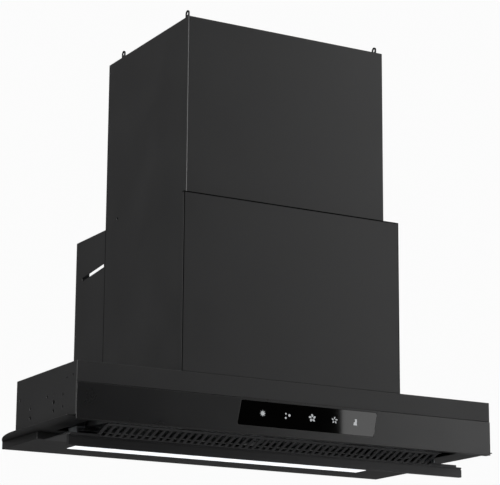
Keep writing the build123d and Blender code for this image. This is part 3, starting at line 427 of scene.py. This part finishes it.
def expandedNet(side):
    low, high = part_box("filter_mesh_" + side)
    middle, size = (low + high) / 2, high - low
    net = bmesh.new()
    for layer in range(filterNet["layers"]):
        sheet = bmesh.new()
        cells = round(size.x / filterNet["diamondLong"]) + round(size.y / filterNet["diamondShort"]) + 2
        bmesh.ops.create_grid(sheet, x_segments=cells, y_segments=cells, size=cells / 2)
        bmesh.ops.rotate(sheet, verts=sheet.verts, matrix=Matrix.Rotation(pi / 4, 3, "Z"))
        halfDiagonal = cos(pi / 4)
        bmesh.ops.scale(sheet, verts=sheet.verts,
                        vec=(filterNet["diamondLong"] / 2 / halfDiagonal,
                             filterNet["diamondShort"] / 2 / halfDiagonal, 1))
        bmesh.ops.translate(sheet, verts=sheet.verts, vec=(layer * filterNet["layerShift"], 0, 0))
        for axis, half in ((Vector((1, 0, 0)), size.x / 2), (Vector((0, 1, 0)), size.y / 2)):
            for way in (1, -1):
                bmesh.ops.bisect_plane(sheet, geom=[*sheet.verts, *sheet.edges, *sheet.faces],
                                       plane_co=way * half * axis, plane_no=way * axis, clear_outer=True)
        bmesh.ops.wireframe(sheet, faces=sheet.faces, thickness=filterNet["strand"],
                            use_boundary=True, use_even_offset=True, use_replace=True)
        height = (layer - (filterNet["layers"] - 1) / 2) * filterNet["layerStep"]
        bmesh.ops.translate(sheet, verts=sheet.verts, vec=middle + Vector((0, 0, height)))
        part = bpy.data.meshes.new("layer")
        sheet.to_mesh(part)
        sheet.free()
        net.from_mesh(part)
        bpy.data.meshes.remove(part)
    piece = makePiece("expanded_net_" + side, net, finishes["filter_aluminium"], "hood")
    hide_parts("filter_mesh_" + side)


for side in ("left", "right"):
    expandedNet(side)
print("filters: two expanded nets")


# Lit touch symbols on the control glass: a sun, three dots, two fans and a lamp. Each place is along
# the glass from its middle and up from it, seen from the front.
marks = {"thickness": 0.06 * mm, "sink": 0.02 * mm, "height": 1 * mm, "share": 0.88, "segments": 20}
sunMark = {"place": (-66.4 * mm, 0), "radius": 2.9 * mm, "rays": 8, "steps": 4, "rayReach": 1.8}
dotMark = {"place": (-30.3 * mm, 0), "dots": ((-3.2, 2.6, 1.2), (2.6, 0.6, 1.9), (-3.4, -3.4, 1.5))}
fanMark = {"place": (5.4 * mm, 0), "blades": 5, "reach": 3.7 * mm, "bladeLong": 4.6 * mm,
           "bladeWide": 2.9 * mm, "twist": radians(28)}
slowFanMark = {"place": (38.4 * mm, 0), "blades": 5, "reach": 3.3 * mm, "bladeLong": 3.8 * mm,
               "bladeWide": 1.9 * mm, "twist": radians(-24)}
lampMark = {"place": (69.3 * mm, 0), "shadeWide": 6.2 * mm, "shadeHigh": 4.6 * mm, "neckWide": 3.2 * mm,
            "neckHigh": 4.4 * mm, "neckShift": 1.2 * mm, "taper": 0.72}
litMaterial = litPrint()


def finishMark(name, shape, place):
    # the flat outline gets its thickness, stands up and goes on the glass's front face
    low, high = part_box("control_glass")
    bmesh.ops.scale(shape, verts=shape.verts, vec=(marks["share"], marks["share"], 1))
    solid = bmesh.ops.extrude_face_region(shape, geom=list(shape.faces))
    raised = [item for item in solid["geom"] if isinstance(item, bmesh.types.BMVert)]
    bmesh.ops.translate(shape, verts=raised, vec=(0, 0, marks["thickness"]))
    bmesh.ops.recalc_face_normals(shape, faces=shape.faces)
    bmesh.ops.rotate(shape, verts=shape.verts, matrix=Matrix.Rotation(pi / 2, 3, "X"))
    corner = Vector(((low.x + high.x) / 2 + place[0], low.y + marks["sink"],
                     (low.z + high.z) / 2 + marks["height"] + place[1]))
    bmesh.ops.translate(shape, verts=shape.verts, vec=corner)
    makePiece(name, shape, litMaterial, "hood")


def sunSymbol():
    shape = bmesh.new()
    disc = bmesh.ops.create_circle(shape, cap_ends=True, segments=sunMark["steps"] * sunMark["rays"],
                                   radius=sunMark["radius"])
    tips = [vert for i, vert in enumerate(disc["verts"]) if i % sunMark["steps"] == 0]
    bmesh.ops.scale(shape, verts=tips, vec=(sunMark["rayReach"], sunMark["rayReach"], 1))
    finishMark("symbol_sun", shape, sunMark["place"])


def dotSymbol():
    shape = bmesh.new()
    for across, up, radius in dotMark["dots"]:
        bmesh.ops.create_circle(shape, cap_ends=True, segments=marks["segments"], radius=radius * mm,
                                matrix=Matrix.Translation((across * mm, up * mm, 0)))
    finishMark("symbol_dots", shape, dotMark["place"])


def fanSymbol(name, fan):
    shape = bmesh.new()
    for blade in range(fan["blades"]):
        turn = Matrix.Rotation(pi / 2 + blade * 2 * pi / fan["blades"], 4, "Z")
        tilt = Matrix.Rotation(fan["twist"], 4, "Z")
        stretch = Matrix.Diagonal((fan["bladeLong"] / 2, fan["bladeWide"] / 2, 1, 1))
        bmesh.ops.create_circle(shape, cap_ends=True, segments=marks["segments"], radius=1,
                                matrix=turn @ Matrix.Translation((fan["reach"], 0, 0)) @ tilt @ stretch)
    finishMark(name, shape, fan["place"])


def lampSymbol():
    shape = bmesh.new()
    shade = bmesh.ops.create_grid(
        shape, x_segments=1, y_segments=1, size=0.5,
        matrix=Matrix.Translation((0, -lampMark["shadeHigh"] / 2, 0))
        @ Matrix.Diagonal((lampMark["shadeWide"], lampMark["shadeHigh"], 1, 1)))
    top = [vert for vert in shade["verts"] if vert.co.y > -lampMark["shadeHigh"] / 2]
    bmesh.ops.scale(shape, verts=top, vec=(lampMark["taper"], 1, 1))
    bmesh.ops.create_grid(
        shape, x_segments=1, y_segments=1, size=0.5,
        matrix=Matrix.Translation((lampMark["neckShift"], lampMark["neckHigh"] / 2, 0))
        @ Matrix.Diagonal((lampMark["neckWide"], lampMark["neckHigh"], 1, 1)))
    finishMark("symbol_lamp", shape, lampMark["place"])


sunSymbol()
dotSymbol()
fanSymbol("symbol_fan", fanMark)
fanSymbol("symbol_slow_fan", slowFanMark)
lampSymbol()
print("controls: five lit symbols")


# The hood hangs about 1.5 m above a kitchen floor. Far out, the floor fades into the pale backdrop.
# The lens, gloss and clear things see it pale. It sends up less light, as the underside is dim in use.
# It can be looked through from below, so that it hides nothing in a view from there.
stage = {"drop": 1.5, "radius": 9, "segments": 96, "colour": "#f1f1f1", "roughness": 0.9,
         "dimColour": "#808080", "backdrop": 0.97, "fadeFrom": 1.6, "fadeTo": 4.5}


def seenStraight(tree):
    # 1 for what the lens sees, also by way of gloss and of clear things, and 0 for soft light
    rays = addNode(tree, "ShaderNodeLightPath").outputs
    lens = addNode(tree, "ShaderNodeMath", {"operation": "MAXIMUM"},
                   links={0: rays["Is Camera Ray"], 1: rays["Is Transmission Ray"]})
    return addNode(tree, "ShaderNodeMath", {"operation": "MAXIMUM"},
                   links={0: lens.outputs[0], 1: rays["Is Glossy Ray"]}).outputs[0]


def studioFloor():
    shape = bmesh.new()
    bmesh.ops.create_circle(shape, cap_ends=True, segments=stage["segments"], radius=stage["radius"])
    mesh = bpy.data.meshes.new("studio_floor")
    shape.to_mesh(mesh)
    shape.free()
    material, tree, shader, place = startMaterial("pale_matt_floor", stage)
    reach = addNode(tree, "ShaderNodeVectorMath", {"operation": "LENGTH"}, links={0: place})
    fade = addNode(tree, "ShaderNodeMapRange", {"interpolation_type": "SMOOTHSTEP"},
                   {"From Min": stage["fadeFrom"], "From Max": stage["fadeTo"]},
                   {"Value": reach.outputs["Value"]})
    pale = addNode(tree, "ShaderNodeEmission", values={"Strength": stage["backdrop"]})
    blend = addNode(tree, "ShaderNodeMixShader",
                    links={0: fade.outputs["Result"], 1: shader.outputs["BSDF"],
                           2: pale.outputs["Emission"]})
    dim = addNode(tree, "ShaderNodeBsdfDiffuse", values={"Color": linearColour(stage["dimColour"])})
    surface = addNode(tree, "ShaderNodeMixShader",
                      links={0: seenStraight(tree), 1: dim.outputs["BSDF"], 2: blend.outputs["Shader"]})
    clear = addNode(tree, "ShaderNodeBsdfTransparent")
    below = addNode(tree, "ShaderNodeNewGeometry").outputs["Backfacing"]
    oneSided = addNode(tree, "ShaderNodeMixShader",
                       links={0: below, 1: surface.outputs["Shader"], 2: clear.outputs["BSDF"]})
    output = next(node for node in tree.nodes if node.bl_idname == "ShaderNodeOutputMaterial")
    tree.links.new(oneSided.outputs["Shader"], output.inputs["Surface"])
    mesh.materials.append(material)
    floor = bpy.data.objects.new("studio_floor", mesh)
    floor.location.z = -stage["drop"]
    bpy.context.scene.collection.objects.link(floor)


# What the lens sees is white all round, and so is what gloss shows. The soft light is even.
air = {"evenLight": 0.75, "white": (1, 1, 1, 1)}


def studioAir():
    world = bpy.data.worlds.new("studio_air")
    world.use_nodes = True
    tree = world.node_tree
    tree.nodes.clear()
    strength = addNode(tree, "ShaderNodeMix", {"data_type": "FLOAT"},
                       {2: air["evenLight"], 3: stage["backdrop"]}, {0: seenStraight(tree)})
    light = addNode(tree, "ShaderNodeBackground", values={"Color": air["white"]},
                    links={"Strength": strength.outputs[0]})
    addNode(tree, "ShaderNodeOutputWorld", links={"Surface": light.outputs[0]})
    bpy.context.scene.world = world


# Black gloss would turn grey between white walls, so a photographer stands dark felt cards where it
# looks: before the hood, behind it and low behind it. They are off the picture and hold back no light.
cards = {
    "front_card": {"place": (1.6, -2.6, 1.2), "tilt": pi / 2, "size": (6, 4.6), "colour": "#242424"},
    "rear_card": {"place": (-0.4, 2.7, 0.8), "tilt": pi / 2, "size": (7, 4.5), "colour": "#808080"},
    "low_card": {"place": (0.6, 1.3, -1.42), "tilt": 0, "size": (5, 3), "colour": "#6c6c6c"},
}


def studioCards():
    for name, card in cards.items():
        shape = bmesh.new()
        bmesh.ops.create_grid(shape, x_segments=1, y_segments=1, size=0.5)
        mesh = bpy.data.meshes.new(name)
        shape.to_mesh(mesh)
        shape.free()
        felt, _, shader, _ = startMaterial("dark_felt_" + name, {"colour": card["colour"], "roughness": 1})
        shader.inputs["Specular IOR Level"].default_value = 0
        mesh.materials.append(felt)
        holder = bpy.data.objects.new(name, mesh)
        holder.matrix_world = (Matrix.Translation(card["place"]) @ Matrix.Rotation(card["tilt"], 4, "X")
                               @ Matrix.Diagonal((*card["size"], 1, 1)))
        holder.visible_camera = holder.visible_diffuse = holder.visible_shadow = False
        bpy.context.scene.collection.objects.link(holder)


# Softboxes: place, what they point at, width and height in metres, and brightness as seen, where 1
# is white. The low box shows in the right end of the control glass, and the edge strip only as a
# fine line of light on the left folds, so it lights no face.
softboxes = {
    "high_box": {"place": (2.7, -2.5, 1.95), "target": (2.7, 0, 1.95), "size": (1.7, 1.9),
                 "brightness": 3.5, "lightsFaces": True},
    "low_box": {"place": (2.36, -2.5, 0.42), "target": (2.36, 0, 0.42), "size": (1.66, 0.66),
                "brightness": 2.1, "lightsFaces": True},
    "edge_strip": {"place": (-2.3, -1.4, 0.8), "target": (-0.2, -0.1, 0.3), "size": (0.5, 2.2),
                   "brightness": 24, "lightsFaces": False},
    "rear_fill": {"place": (0.6, 3.2, 1.4), "target": (0, 0, 0.3), "size": (2.4, 1.6),
                  "brightness": 0.9, "lightsFaces": True},
}


def studioLamps():
    for name, box in softboxes.items():
        lamp = bpy.data.lights.new(name, "AREA")
        lamp.shape = "RECTANGLE"
        lamp.size, lamp.size_y = box["size"]
        lamp.energy = box["brightness"] * pi * lamp.size * lamp.size_y
        holder = bpy.data.objects.new(name, lamp)
        holder.location = box["place"]
        aim = Vector(box["target"]) - Vector(box["place"])
        holder.rotation_euler = aim.to_track_quat("-Z", "Y").to_euler()
        holder.visible_camera = False
        holder.visible_diffuse = box["lightsFaces"]
        bpy.context.scene.collection.objects.link(holder)


# The photograph was taken from below, left of the middle, with a long lens.
view = {"place": (-1.3085, -2.3668, -0.3499), "turn": radians(-29.5423), "rise": radians(13.7602),
        "roll": radians(0.3942), "lens": 148.19, "nearest": 0.05}


def photoCamera():
    camera = bpy.data.cameras.new("photo_camera")
    camera.lens = view["lens"]
    camera.clip_start = view["nearest"]
    holder = bpy.data.objects.new("photo_camera", camera)
    holder.matrix_world = (Matrix.Translation(view["place"]) @ Matrix.Rotation(view["turn"], 4, "Z")
                           @ Matrix.Rotation(pi / 2 + view["rise"], 4, "X")
                           @ Matrix.Rotation(view["roll"], 4, "Z"))
    bpy.context.scene.collection.objects.link(holder)
    bpy.context.scene.camera = holder


studioFloor()
studioAir()
studioCards()
studioLamps()
photoCamera()
bpy.context.scene.view_settings.view_transform = "Standard"
print("studio: floor, air,", len(cards), "cards,", len(softboxes), "softboxes and the camera")
